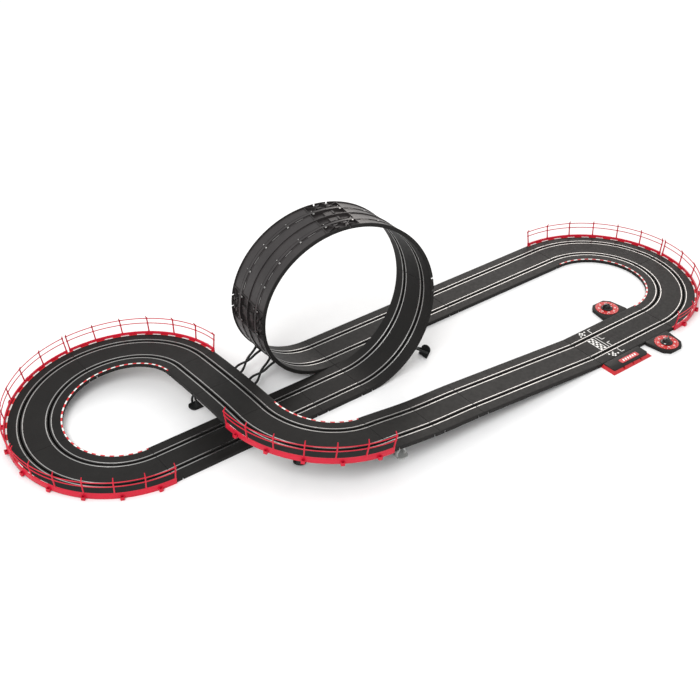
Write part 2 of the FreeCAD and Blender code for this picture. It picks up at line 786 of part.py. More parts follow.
def housing():
    """The connection housing beside the start line: tray, cover, board, sockets and screws."""
    west = EAST - value("housing_left")
    length, reach = value("housing_length"), value("housing_reach")
    flare, wall = value("housing_flare"), value("housing_wall")
    floor, thick = value("housing_floor"), value("cover_thick")
    near = FRONT_LINE - HALF - 0.2
    high = DEPTH - thick

    tray_outer = doc.addObject("Part::Wedge", "tray_outer")
    # a block that widens towards the floor on its three free sides
    tray_outer.Xmin, tray_outer.Xmax = 0, length
    tray_outer.Zmin, tray_outer.Zmax = 0, reach
    tray_outer.Ymin, tray_outer.Ymax = 0, high
    tray_outer.X2min, tray_outer.X2max = flare, length - flare
    tray_outer.Z2min, tray_outer.Z2max = 0, reach - flare
    tray_outer.Placement = FreeCAD.Placement(Vector(west, near, 0),
                                             FreeCAD.Rotation(Vector(1, 0, 0), 90))
    tray_inner = doc.addObject("Part::Box", "tray_inner")
    tray_inner.Length = length - 2 * (flare + wall)
    tray_inner.Width = reach - flare - 2 * wall
    tray_inner.Height = high
    tray_inner.Placement.Base = Vector(west + flare + wall, near - reach + flare + wall, floor)
    holes = [tray_inner]
    centre_up = floor + (high - floor) / 2
    for word, along, radius in SOCKETS:
        hole = doc.addObject("Part::Cylinder", "tray_hole_" + word)
        hole.setExpression("Radius", "Dims.%s + 0.85" % radius)
        hole.Height = flare + wall + 4
        hole.Placement = FreeCAD.Placement(Vector(west + along, near - reach + flare + wall + 1, centre_up),
                                           FreeCAD.Rotation(Vector(1, 0, 0), 90))
        holes.append(hole)
    for i, (x, y) in enumerate(screw_places(west, near)):
        hole = doc.addObject("Part::Cylinder", "tray_screw_hole_%d" % i)
        hole.setExpression("Radius", "Dims.screw_radius + 0.1")
        hole.Height = floor + 2
        hole.Placement.Base = Vector(x, y, -1)
        holes.append(hole)
    cutter = doc.addObject("Part::MultiFuse", "tray_cutter")
    cutter.Shapes = holes
    tray = doc.addObject("Part::Cut", "base_tray")
    tray.Base = tray_outer
    tray.Tool = cutter
    keep(tray, "base_tray")

    cover = new_body("housing_cover")
    plate = new_sketch(cover, "cover_plate", "XY_Plane")
    corner = 9.0
    edge = 1.2
    left, right = size(flare - edge), size(length - flare + edge)
    front, back = size(-reach + flare - edge), size(0)
    draw_polygon(plate, [(left, back), (left, front), (right - corner, front),
                         (right, front + corner), (right, back)])
    pad(cover, plate, "cover_plate_pad", size("cover_thick"))
    posts = new_sketch(cover, "cover_posts", "XY_Plane")
    for x, y in screw_places(0, 0):
        draw_circle(posts, size(x), size(y), size("screw_radius") + 1.3)
    pad(cover, posts, "cover_posts_pad", size(high - floor - 0.2), True)
    pilots = new_sketch(cover, "cover_pilots", "XY_Plane", size(-(high - floor - 0.2)))
    for x, y in screw_places(0, 0):
        draw_circle(pilots, size(x), size(y), size("screw_radius"))
    pocket(cover, pilots, "cover_pilots_cut", size(high - floor + 0.6), True)
    place(cover, west, near, high + 0.05)

    screws = []
    for x, y in screw_places(west, near):
        screws.append(Part.makeCylinder(value("screw_radius") - 0.05, high - 0.2, Vector(x, y, 0.1)))
    feature("housing_screws", Part.makeCompound(screws))

    board = doc.addObject("Part::Box", "circuit_board")
    board.Length = length - 2 * (flare + wall) - 24
    board.Width = 11.0
    board.setExpression("Height", "Dims.board_thick")
    board.Placement.Base = Vector(west + flare + wall + 12, near - 16.0, floor + 0.3)
    keep(board, "circuit_board")

    for word, along, radius in SOCKETS:
        block = doc.addObject("Part::Box", word + "_block")
        block.Length = 10.0
        block.setExpression("Width", "Dims.jack_length")
        block.Height = high - floor - 0.2
        block.Placement.Base = Vector(west + along - 5.0, near - reach + flare + wall + 0.1, floor + 0.1)
        bore = doc.addObject("Part::Cylinder", word + "_bore")
        bore.setExpression("Radius", "Dims.%s" % radius)
        bore.setExpression("Height", "Dims.jack_bore_length + 1")
        bore.Placement = FreeCAD.Placement(
            Vector(west + along, near - reach + flare + wall + 0.1 + value("jack_bore_length"), centre_up),
            FreeCAD.Rotation(Vector(1, 0, 0), 90))
        jack = doc.addObject("Part::Cut", word)
        jack.Base = block
        jack.Tool = bore
        keep(jack, word)

    label = new_body("label_plate")
    outline = new_sketch(label, "label_outline", "XY_Plane")
    draw_box(outline, size(38), size(92), size(-24), size(-11))
    pad(label, outline, "label_pad", size(0.6))
    place(label, west, near, DEPTH + 0.05)


# sockets in the housing's front wall: name, place along the housing, bore
SOCKETS = (("power_socket", 34.0, "power_bore"),
           ("control_socket_left", 62.0, "control_bore"),
           ("control_socket_right", 86.0, "control_bore"))


def screw_places(west, near):
    return [(west + x, near + y) for x in (14.0, value("housing_length") - 14.0) for y in (-6.0, -25.0)]


# ---------------------------------------------------------------- the whole circuit

def ramp_line(east, north, heading, run):
    return lambda along: line_station(east, north, heading, along, run)


def ramp_bend(east, north, heading, turn, run):
    return lambda along: bend_station(east, north, heading, turn, along, run)


def loop_part(quarter):
    return lambda along: loop_station((quarter * LOOP_QUARTER + along) / LOOP)


start_section()
housing()
lap_counter("inner", 1)
lap_counter("outer", -1)

RIGHT_CENTRE = FRONT_LINE + BEND
flat_bend("right_bend_front", "strips_right", EAST, RIGHT_CENTRE, 0)
flat_bend("right_bend_back", "strips_right", EAST, RIGHT_CENTRE, 90)
flat_straight("back_straight_right", "strips_back", EAST, BACK_LINE, 180, size("long_run"))
flat_straight("back_straight_left", "strips_back", EAST - LONG, BACK_LINE, 180, size("long_run"))
LOOP_NAMES = ("loop_entry", "loop_rise", "loop_fall", "loop_exit")
for quarter, name in enumerate(LOOP_NAMES):
    group = "strips_loop_up" if quarter < 2 else "strips_loop_down"
    shaped_deck(name, group, loop_part(quarter), LOOP_QUARTER, backed=True)
flat_straight("exit_straight", "strips_lower", LOOP_EAST, EXIT_LINE, 180, size("short_run"))
flat_straight("lower_straight", "strips_lower", LOOP_EAST - SHORT, EXIT_LINE, 180, size("long_run"))

LEFT_CENTRE = EXIT_LINE + BEND
LEFT_NAMES = ("left_bend_low", "left_bend_middle", "left_bend_high")
for i, name in enumerate(LEFT_NAMES):
    shaped_deck(name, "strips_left", ramp_bend(LEFT_END, LEFT_CENTRE, 180 - 90 * i, -1, RAMP[i][0]),
                QUARTER)
FLYOVER_RUN = RAMP[3][0]
for i, name in enumerate(("flyover_deck_back", "flyover_deck_front")):
    maker = ramp_line(FLYOVER_EAST, FLYOVER_START - i * SHORT, -90, FLYOVER_RUN + i * SHORT)
    shaped_deck(name, "strips_flyover", maker, SHORT, 9)
FRONT_CENTRE = FRONT_LINE + BEND
front_bend = ramp_bend(FRONT_START, FRONT_CENTRE, -90, 1, RAMP[4][0])
shaped_deck("front_bend", "strips_flyover", front_bend, QUARTER)
shaped_deck("front_ramp_high", "strips_ramp", ramp_line(FRONT_START, FRONT_LINE, 0, RAMP[5][0]), SHORT, 9)
shaped_deck("front_ramp_middle", "strips_ramp",
            ramp_line(FRONT_START + SHORT, FRONT_LINE, 0, RAMP[6][0]), SHORT, 9)
shaped_deck("front_ramp_low", "strips_ramp",
            ramp_line(FRONT_START + 2 * SHORT, FRONT_LINE, 0, RAMP[7][0]), LONG, 2)

for i, name in enumerate(("guard_rail_right_front", "guard_rail_right_back")):
    heading = 90 * i
    guard_rail(name, lambda along, h=heading: bend_station(EAST, RIGHT_CENTRE, h, 1, along), -1)
for i, word in enumerate(("low", "middle", "high")):
    guard_rail("guard_rail_left_" + word,
               ramp_bend(LEFT_END, LEFT_CENTRE, 180 - 90 * i, -1, RAMP[i][0]), 1)
guard_rail("guard_rail_front", front_bend, -1)

flyover = ramp_line(FLYOVER_EAST, FLYOVER_START, -90, FLYOVER_RUN)(value("flyover_leg_step"))
upright_leg("flyover_leg_left", flyover, -value("flyover_leg_offset"), -1)
upright_leg("flyover_leg_right", flyover, value("flyover_leg_offset"))
upright_leg("front_bend_leg", front_bend(value("front_leg_step")), value("front_leg_offset"), -1)
ramp_front = ramp_line(FRONT_START, FRONT_LINE, 0, RAMP[5][0])(value("ramp_leg_step"))
upright_leg("ramp_leg_outer", ramp_front, -value("ramp_leg_offset"), -1)
upright_leg("ramp_leg_inner", ramp_front, value("ramp_leg_offset"))
for i, word in ((1, "low"), (2, "high")):
    left_bend = ramp_bend(LEFT_END, LEFT_CENTRE, 180 - 90 * i, -1, RAMP[i][0])
    station = left_bend(value("left_leg_%s_step" % word))
    upright_leg("left_bend_leg_" + word, station, value("left_leg_offset"))
loop_leg("loop_leg_left_back", value("loop_leg_angle"), value("loop_leg_back"))
loop_leg("loop_leg_left_front", value("loop_leg_angle"), value("loop_leg_front"))
loop_leg("loop_leg_right", 360 - value("loop_leg_angle"), value("loop_leg_right"))

for name, shapes in STRIPS.items():
    feature(name, Part.makeCompound(shapes))

# ---------------------------------------------------------------- check and write

doc.recompute()
for thing in doc.Objects:
    if "Invalid" in thing.State or "Error" in thing.State:
        raise RuntimeError("%s did not compute" % thing.Name)
overall = FreeCAD.BoundBox()
for thing in SUBPARTS:
    shape = thing.Shape
    if shape.isNull() or not shape.isValid() or not shape.Solids:
        raise RuntimeError("%s is not a valid solid" % thing.Label)
    overall.add(shape.BoundBox)
    shape.exportStep(os.path.join(OUT, thing.Label + ".step"))
    print("%-26s %2d solids %10.1f mm3" % (thing.Label, len(shape.Solids), shape.Volume))
print("whole: X %.2f..%.2f Y %.2f..%.2f Z %.2f..%.2f" % (
    overall.XMin, overall.XMax, overall.YMin, overall.YMax, overall.ZMin, overall.ZMax))
print("%d sub-parts" % len(SUBPARTS))
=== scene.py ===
import math

import bmesh
import bpy
from mathutils import Matrix, Vector


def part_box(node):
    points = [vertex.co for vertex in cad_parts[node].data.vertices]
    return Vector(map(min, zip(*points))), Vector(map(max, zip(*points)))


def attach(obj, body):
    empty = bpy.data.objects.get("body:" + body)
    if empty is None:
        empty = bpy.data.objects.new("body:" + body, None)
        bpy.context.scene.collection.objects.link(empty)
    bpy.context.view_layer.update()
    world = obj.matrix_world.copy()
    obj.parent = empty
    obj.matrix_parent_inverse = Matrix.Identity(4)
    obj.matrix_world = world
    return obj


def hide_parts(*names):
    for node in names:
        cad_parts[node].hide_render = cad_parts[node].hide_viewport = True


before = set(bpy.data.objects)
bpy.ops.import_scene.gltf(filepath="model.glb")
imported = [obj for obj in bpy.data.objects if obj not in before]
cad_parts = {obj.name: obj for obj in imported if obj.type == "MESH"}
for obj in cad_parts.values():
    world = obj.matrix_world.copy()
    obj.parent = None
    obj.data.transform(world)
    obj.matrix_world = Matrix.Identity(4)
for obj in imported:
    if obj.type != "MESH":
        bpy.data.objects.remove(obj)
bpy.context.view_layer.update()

# A slot car circuit: swept track pieces with their strips, guard rails, legs, and a start section
# with two lap counters. Left is + across a deck, up is + from its top, and every length is in metres.

MM = 0.001

# ---------------------------------------------------------------- layout, from the frame and the grid

GRID = 57 * MM
BEND = 3 * GRID
LOOP = 176 * MM
LOOP_HIGH = 180 * MM
LOOP_LEAN = -1.9 * MM
LONG = 6 * GRID
SHORT = 2 * GRID
START = 4 * GRID
QUARTER = BEND * math.pi / 2
LOOP_QUARTER = LOOP * math.pi / 2
GAP = 0.2 * MM

straight_low, straight_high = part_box("back_straight_right")
HALF = (straight_high.y - straight_low.y) / 2
TOP = straight_high.z
EAST = straight_high.x + GAP / 2
BACK_LINE = (straight_high.y + straight_low.y) / 2
EXIT_LINE = BACK_LINE - 2 * GRID
FRONT_LINE = BACK_LINE - 6 * GRID
LOOP_EAST = EAST - 12 * GRID
LEFT_END = EAST - 20 * GRID
FLYOVER_EAST = LEFT_END + BEND
FLYOVER_START = EXIT_LINE + BEND
FRONT_START = EAST - 14 * GRID

# run along the raised part and height of the deck above the floor track, at its joints
RAMP = [
    (0.0, 0.0),
    (QUARTER, 6.5 * MM),
    (2 * QUARTER, 36.5 * MM),
    (3 * QUARTER, 69 * MM),
    (3 * QUARTER + 2 * SHORT, 79.3 * MM),
    (4 * QUARTER + 2 * SHORT, 55.3 * MM),
    (4 * QUARTER + 3 * SHORT, 40.3 * MM),
    (4 * QUARTER + 4 * SHORT, 32.2 * MM),
    (4 * QUARTER + 4 * SHORT + LONG, 0.0),
]

# the deck's section
DEPTH = 8 * MM
SKIN = 2 * MM
WALL = 2 * MM
RIB = 2 * MM
EDGE = 0.6 * MM
CURB = 3.8 * MM
LANE = GRID / 2
SLOT = 1.5 * MM
SLOT_EDGE = 0.5 * MM
SLOT_DEEP = 6 * MM
CHANNEL = SLOT + 1.4 * MM
CHANNEL_DEEP = SLOT_DEEP + 1.2 * MM
STRIP = 5.5 * MM
STRIP_HALF = 1.0 * MM
STRIP_PROUD = 0.25 * MM
GROOVE = STRIP_HALF + 0.05 * MM
GROOVE_DEEP = 1.0 * MM
PANEL = 5.8 * MM
PANEL_CLEAR = 34 * MM
CURB_BLOCKS = 10
CURVE_STEPS = 80


def ramp_slope(i):
    """Slope of the ramp at its joint i: level at its start, and even along its last straight."""
    if i == 0:
        return 0.0
    last = len(RAMP) - 1
    first, second = (i - 1, i + 1) if i < last - 1 else (last - 1, last)
    return (RAMP[second][1] - RAMP[first][1]) / (RAMP[second][0] - RAMP[first][0])


def rise(run):
    """Height and slope of the deck at a distance along the ramp, smooth through every joint."""
    for i in range(len(RAMP) - 1):
        start, low = RAMP[i]
        end, high = RAMP[i + 1]
        if run <= end or i == len(RAMP) - 2:
            span = end - start
            part = (run - start) / span
            begin, finish = ramp_slope(i) * span, ramp_slope(i + 1) * span
            cubic = 2 * low + begin - 2 * high + finish
            square = -3 * low - 2 * begin + 3 * high - finish
            height = low + begin * part + square * part ** 2 + cubic * part ** 3
            return height, (begin + 2 * square * part + 3 * cubic * part ** 2) / span


class Station:
    """A place on the deck's middle line, with its forward, left and up directions."""

    def __init__(self, point, forward, left):
        self.point = point
        self.forward = forward.normalized()
        self.left = left.normalized()
        self.up = self.forward.cross(self.left)

    def at(self, left, up, ahead=0.0):
        return self.point + self.left * left + self.up * up + self.forward * ahead


def line(east, north, heading, run=None):
    """Maker of the stations of a straight that starts at east, north; run is its place on the ramp."""
    angle = math.radians(heading)

    def maker(along):
        height, slope = rise(run + along) if run is not None else (0.0, 0.0)
        point = Vector((east + along * math.cos(angle), north + along * math.sin(angle), TOP + height))
        forward = Vector((math.cos(angle), math.sin(angle), slope))
        return Station(point, forward, Vector((-math.sin(angle), math.cos(angle), 0)))
    return maker


def bend(east, north, heading, turn, run=None):
    """Maker of the stations of a bend about east, north: turn is 1 for a left bend, -1 for a right one."""
    def maker(along):
        height, slope = rise(run + along) if run is not None else (0.0, 0.0)
        angle = math.radians(heading) + turn * along / BEND
        out = Vector((math.sin(angle), -math.cos(angle), 0)) * turn
        forward = Vector((math.cos(angle), math.sin(angle), slope))
        return Station(Vector((east, north, TOP + height)) + out * BEND, forward,
                       Vector((-math.sin(angle), math.cos(angle), 0)))
    return maker


def loop(quarter):
    """Maker of the stations of a quarter of the loop, which leaves on the exit line."""
    def maker(along):
        angle = (quarter * LOOP_QUARTER + along) / LOOP
        part = angle / (2 * math.pi)
        ease = part ** 3 * (10 - 15 * part + 6 * part ** 2)
        ease_slope = 30 * part ** 2 * (1 - part) ** 2 / (2 * math.pi)
        shift = EXIT_LINE - BACK_LINE
        high = 1 - math.cos(angle)
        point = Vector((LOOP_EAST + LOOP_LEAN * high - LOOP * math.sin(angle), BACK_LINE + shift * ease,
                        TOP + LOOP_HIGH * high))
        forward = Vector((LOOP_LEAN * math.sin(angle) - LOOP * math.cos(angle), shift * ease_slope,
                          LOOP_HIGH * math.sin(angle))).normalized()
        across = Vector((0, -1, 0))
        return Station(point, forward, across - forward * across.dot(forward))
    return maker


# ---------------------------------------------------------------- finishes

FINISHES = {}


def node(tree, kind, **settings):
    made = tree.nodes.new(kind)
    for name, setting in settings.items():
        made.inputs[name.replace("_", " ").title()].default_value = setting
    return made


def finish(name, colour, rough, grain=0.7 * MM, depth=0.02 * MM, shade=0.12, metal=0.0, coat=0.0,
           specular=0.5):
    """A moulded, printed or metal surface: fine grain in its bump, cloudy colour and uneven gloss."""
    material = bpy.data.materials.new(name)
    material.use_nodes = True
    tree = material.node_tree
    shader = tree.nodes["Principled BSDF"]
    shader.inputs["Metallic"].default_value = metal
    shader.inputs["Coat Weight"].default_value = coat
    shader.inputs["Coat Roughness"].default_value = 0.2
    shader.inputs["Specular IOR Level"].default_value = specular
    place = tree.nodes.new("ShaderNodeTexCoord")

    def noise(size, detail):
        made = node(tree, "ShaderNodeTexNoise", scale=1 / size, detail=detail, roughness=0.6)
        tree.links.new(place.outputs["Object"], made.inputs["Vector"])
        return made.outputs["Fac"]

    cloud = tree.nodes.new("ShaderNodeValToRGB")
    cloud.color_ramp.elements[0].position = 0.3
    cloud.color_ramp.elements[1].position = 0.7
    for element, factor in zip(cloud.color_ramp.elements, (1 - shade, 1 + shade)):
        element.color = [min(part * factor, 1.0) for part in colour] + [1]
    tree.links.new(noise(45 * MM, 4), cloud.inputs["Fac"])
    speck = tree.nodes.new("ShaderNodeMix")
    speck.data_type = "RGBA"
    speck.blend_type = "SOFT_LIGHT"
    speck.inputs["Factor"].default_value = 0.35
    tree.links.new(cloud.outputs["Color"], speck.inputs["A"])
    tree.links.new(noise(grain * 2, 3), speck.inputs["B"])
    tree.links.new(speck.outputs["Result"], shader.inputs["Base Color"])

    gloss = node(tree, "ShaderNodeMapRange", from_min=0.3, from_max=0.7, to_min=rough - 0.06,
                 to_max=rough + 0.06)
    tree.links.new(noise(9 * MM, 5), gloss.inputs["Value"])
    tree.links.new(gloss.outputs["Result"], shader.inputs["Roughness"])

    bump = tree.nodes.new("ShaderNodeBump")
    bump.inputs["Strength"].default_value = 0.8
    bump.inputs["Distance"].default_value = depth
    tree.links.new(noise(grain, 2), bump.inputs["Height"])
    tree.links.new(bump.outputs["Normal"], shader.inputs["Normal"])
    FINISHES[name] = material
    return material


finish("track", (0.0145, 0.0138, 0.0132), 0.5, depth=0.03 * MM, shade=0.1, specular=0.12)
finish("track_under", (0.029, 0.0255, 0.0255), 0.4, grain=1.4 * MM, shade=0.18, specular=0.4)
# slot and strip-groove walls: a black darker than the track, which is painted shade for these deep narrow
# recesses
finish("slot_painted_shade", (0.003, 0.003, 0.003), 0.8, specular=0.05)
finish("print_red", (0.62, 0.02, 0.025), 0.45, shade=0.08)
finish("print_white", (0.86, 0.85, 0.82), 0.45, shade=0.05)
finish("steel", (0.46, 0.455, 0.445), 0.35, grain=0.4 * MM, shade=0.08, metal=1.0)
finish("guard_red", (0.54, 0.008, 0.030), 0.4, grain=1.2 * MM, depth=0.015 * MM, shade=0.07, specular=0.3)
finish("leg_black", (0.009, 0.010, 0.010), 0.4, shade=0.15, specular=0.25)
finish("leg_grey", (0.50, 0.51, 0.50), 0.45, shade=0.08)
finish("tray_red", (0.50, 0.010, 0.016), 0.36, grain=1.0 * MM, shade=0.08, coat=0.1)
finish("housing_black", (0.0145, 0.0138, 0.0132), 0.46, depth=0.03 * MM, specular=0.12)
finish("label_red", (0.55, 0.012, 0.02), 0.4, shade=0.06, coat=0.1, specular=0.3)
finish("ring_red", (0.50, 0.012, 0.012), 0.42, shade=0.07, specular=0.3)
finish("knob_black", (0.008, 0.009, 0.009), 0.3, shade=0.15, specular=0.4)
finish("socket_black", (0.012, 0.012, 0.013), 0.35)
finish("board_green", (0.02, 0.16, 0.05), 0.35, coat=0.4)


# ---------------------------------------------------------------- shapes

SHARP = math.radians(32)
MERGE = 2e-6


class Shape:
    """The points and faces of a piece while it is being made; each face has a finish."""

    def __init__(self):
        self.points = []
        self.faces = []
        self.finishes = []

    def face(self, corners, finish_name):
        self.faces.append(tuple(corners))
        self.finishes.append(finish_name)

    def skin(self, rings, look, ends=True, end_look=None):
        """Joins a row of rings point by point; look is a finish, or gives one by ring and point."""
        start = len(self.points)
        count = len(rings[0])
        for ring in rings:
            self.points.extend(ring)
        for i in range(len(rings) - 1):
            for j in range(count):
                k = (j + 1) % count
                first = start + i * count
                self.face((first + j, first + k, first + count + k, first + count + j),
                          look(i, j) if callable(look) else look)
        if ends:
            plain = end_look or (look(0, 0) if callable(look) else look)
            for i in (0, len(rings) - 1):
                first = start + i * count
                self.face(range(first, first + count), plain)

    def block(self, station, left, right, low, high, back, ahead, look, ease=0.3 * MM):
        """A box in a station's directions, with eased edges all round."""
        rings = []
        for up, inset in ((low, ease), (low + ease, 0.0), (high - ease, 0.0), (high, ease)):
            rings.append([station.at(x, up, y)
                          for x, y in rounded_box(left + inset, right - inset, back + inset, ahead - inset,
                                                  ease, 1)])
        self.skin(rings, look)


def rounded_box(left, right, low, high, radius, steps=2):
    """Outline of a box with round corners."""
    row = []
    for x, y, turn in ((right - radius, high - radius, 0), (left + radius, high - radius, 90),
                       (left + radius, low + radius, 180), (right - radius, low + radius, 270)):
        for i in range(steps + 1):
            angle = math.radians(turn + 90 * i / steps)
            row.append((x + radius * math.cos(angle), y + radius * math.sin(angle)))
    return row


def circle(radius, count, start=0.0):
    return [(radius * math.cos(start + 2 * math.pi * i / count),
             radius * math.sin(start + 2 * math.pi * i / count)) for i in range(count)]


def piece(name, shape, nodes, body="circuit"):
    """Makes a shape into an object that stands for its CAD nodes and rides on their body."""
    mesh = bpy.data.meshes.new(name)
    mesh.from_pydata(shape.points, [], shape.faces)
    used = list(dict.fromkeys(shape.finishes))
    for finish_name in used:
        mesh.materials.append(FINISHES[finish_name])
    mesh.polygons.foreach_set("material_index", [used.index(f) for f in shape.finishes])
    work = bmesh.new()
    work.from_mesh(mesh)
    bmesh.ops.remove_doubles(work, verts=work.verts, dist=MERGE)
    bmesh.ops.dissolve_degenerate(work, edges=work.edges, dist=MERGE)
    bmesh.ops.recalc_face_normals(work, faces=work.faces)
    work.to_mesh(mesh)
    work.free()
    mesh.shade_smooth()
    mesh.set_sharp_from_angle(angle=SHARP)
    thing = bpy.data.objects.new(name, mesh)
    bpy.context.scene.collection.objects.link(thing)
    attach(thing, body)
    if nodes:
        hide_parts(*nodes)


# ---------------------------------------------------------------- decks

def deck_outline(kind):
    """The deck's section from its right edge over the top and back underneath.

    Each corner has the finish of the face that follows it. A notch section has its side walls cut
    away, an end section's top is eased for the seam at the joint, and a back section has a panel over
    its hollow underside.
    """
    drop = 0.5 * MM if kind == "end" else 0.0
    foot = -SKIN - 0.8 * MM if kind == "notch" else -DEPTH
    under = -PANEL if kind == "back" else -SKIN
    row = [(-HALF, -EDGE - drop, "track"), (-HALF + 0.3 * EDGE, -0.3 * EDGE - drop, "track"),
           (-HALF + EDGE, -drop, "curb"), (-HALF + CURB, -drop, "track")]
    for middle in (-LANE, LANE):
        for side in (-1, 1):
            centre = middle + side * STRIP
            # the walls and floors of the strip grooves and slots take the painted shade finish, darker than
            # the track
            row += [(centre - GROOVE, -drop, "slot_painted_shade"), (centre - GROOVE, -GROOVE_DEEP, "slot_painted_shade"),
                    (centre + GROOVE, -GROOVE_DEEP, "slot_painted_shade"), (centre + GROOVE, -drop, "track")]
            if side < 0:
                row += [(middle - SLOT - SLOT_EDGE, -drop, "track"),
                        (middle - SLOT, -SLOT_EDGE - drop, "slot_painted_shade"),
                        (middle - SLOT, -SLOT_DEEP, "slot_painted_shade"),
                        (middle + SLOT, -SLOT_DEEP, "slot_painted_shade"),
                        (middle + SLOT, -SLOT_EDGE - drop, "track"),
                        (middle + SLOT + SLOT_EDGE, -drop, "track")]
    row += [(HALF - CURB, -drop, "curb"), (HALF - EDGE, -drop, "track"),
            (HALF - 0.3 * EDGE, -0.3 * EDGE - drop, "track"), (HALF, -EDGE - drop, "track"),
            (HALF, foot, "track"), (HALF - WALL, foot, "track_under"), (HALF - WALL, under, "track_under")]
    bead, bead_half = under - 0.5 * MM, 0.6 * MM
    channel = min(-CHANNEL_DEEP, under - 0.4 * MM)
    for middle in (LANE, -LANE):
        for centre, half, low in ((middle + STRIP, bead_half, bead), (middle, CHANNEL, channel),
                                  (middle - STRIP, bead_half, bead)):
            row += [(centre + half, under, "track_under"), (centre + half, low, "track_under"),
                    (centre - half, low, "track_under"), (centre - half, under, "track_under")]
        if middle > 0:
            row += [(RIB / 2, under, "track_under"), (RIB / 2, -DEPTH, "track_under"),
                    (-RIB / 2, -DEPTH, "track_under"), (-RIB / 2, under, "track_under")]
    row += [(-HALF + WALL, under, "track_under"), (-HALF + WALL, foot, "track"), (-HALF, foot, "track")]
    return row


OUTLINES = {kind: deck_outline(kind) for kind in ("plain", "notch", "end", "back")}
NOTCH_PLACE = 13 * MM
NOTCH_HALF = 1.8 * MM
SEAM = 0.45 * MM


def deck_marks(length, steps, backed):
    """Places along a deck where its section is set, with the kind of section at each."""
    first, last = GAP / 2, length - GAP / 2
    step = 1e-6
    marks = [(first, "end"), (first + SEAM, "plain"), (last - SEAM, "plain"), (last, "end")]
    notches = []
    for centre in (NOTCH_PLACE, length - NOTCH_PLACE):
        near, far = centre - NOTCH_HALF, centre + NOTCH_HALF
        notches.append((near, far))
        marks += [(near - step, "plain"), (near, "notch"), (far, "notch"), (far + step, "plain")]
    if backed:
        for near, far in ((PANEL_CLEAR, PANEL_CLEAR + step),
                          (length - PANEL_CLEAR, length - PANEL_CLEAR - step)):
            marks += [(near, "plain"), (far, "back")]
    for i in range(1, steps):
        along = length * i / steps
        if all(abs(along - mark) > 0.3 * MM for mark, _ in marks):
            cut = any(near < along < far for near, far in notches)
            panel = backed and PANEL_CLEAR < along < length - PANEL_CLEAR
            marks.append((along, "notch" if cut else "back" if panel else "plain"))
    return sorted(marks)


def curb_look(along, length):
    """A curb's colour: a red block centred on every tenth of the bend, and white between them."""
    return "print_red" if (along / length * CURB_BLOCKS + 0.25) % 1 < 0.5 else "print_white"


def wall_between(shape, first, left, second, right, low, high, thick):
    """A thin upright wall under a deck, from a place at one station to a place at another."""
    rings = []
    for up in (low, high):
        rings.append([first.at(left, up, -thick), second.at(right, up, -thick),
                      second.at(right, up, thick), first.at(left, up, thick)])
    shape.skin(rings, "track_under")


def joint_parts(shape, maker, length):
    """The clips and stiffening walls under both ends of a deck."""
    low, high, thin = -DEPTH + 0.6 * MM, -SKIN + 0.2 * MM, 0.7 * MM
    inner, channel, brace = HALF - WALL, LANE + CHANNEL, 22 * MM
    for here, sign in ((0.0, 1), (length, -1)):
        def station(reach):
            return maker(here + sign * reach)
        near, middle, cross = station(3 * MM), station(22 * MM), station(34 * MM)
        walls = ((cross, RIB / 2, cross, LANE - CHANNEL), (cross, channel, cross, inner),
                 (cross, inner, near, channel + 3 * MM), (near, inner, middle, channel),
                 (near, brace, cross, brace))
        for side in (-1, 1):
            for first, left, second, right in walls:
                wall_between(shape, first, side * left, second, side * right, low, high, thin)
            for place in (38 * MM, 47 * MM):
                shape.block(station(10 * MM), side * place - 2.2 * MM, side * place + 2.2 * MM, low, high,
                            -4 * MM, 4 * MM, "track_under")
    last = maker(length)
    for side in (-1, 1):
        edges = sorted((side * 6 * MM, side * 20 * MM))
        shape.block(last, edges[0], edges[1], -SKIN - 2.8 * MM, -SKIN - 0.4 * MM, -11 * MM, 11 * MM,
                    "track_under")
        shape.block(last, edges[0] + 1 * MM, edges[1] - 1 * MM, -SKIN - 4.2 * MM, -SKIN - 2.7 * MM, 7 * MM,
                    10.6 * MM, "track_under")


def deck(name, maker, length, steps, curbs=False, extra=None):
    """A track piece swept along its stations, with its joints, stood in for its CAD node."""
    marks = deck_marks(length, steps, name.startswith("loop"))
    shape = Shape()
    rings = []
    for along, kind in marks:
        station = maker(along)
        rings.append([station.at(left, up) for left, up, _ in OUTLINES[kind]])

    def look(i, j):
        named = OUTLINES["plain"][j][2]
        if named != "curb":
            return named
        return curb_look((marks[i][0] + marks[i + 1][0]) / 2, length) if curbs else "track"

    shape.skin(rings, look, end_look="track")
    joint_parts(shape, maker, length)
    if extra:
        extra(shape)
    piece("track_" + name, shape, [name])


# ---------------------------------------------------------------- strips

STRIP_SHAPES = {}


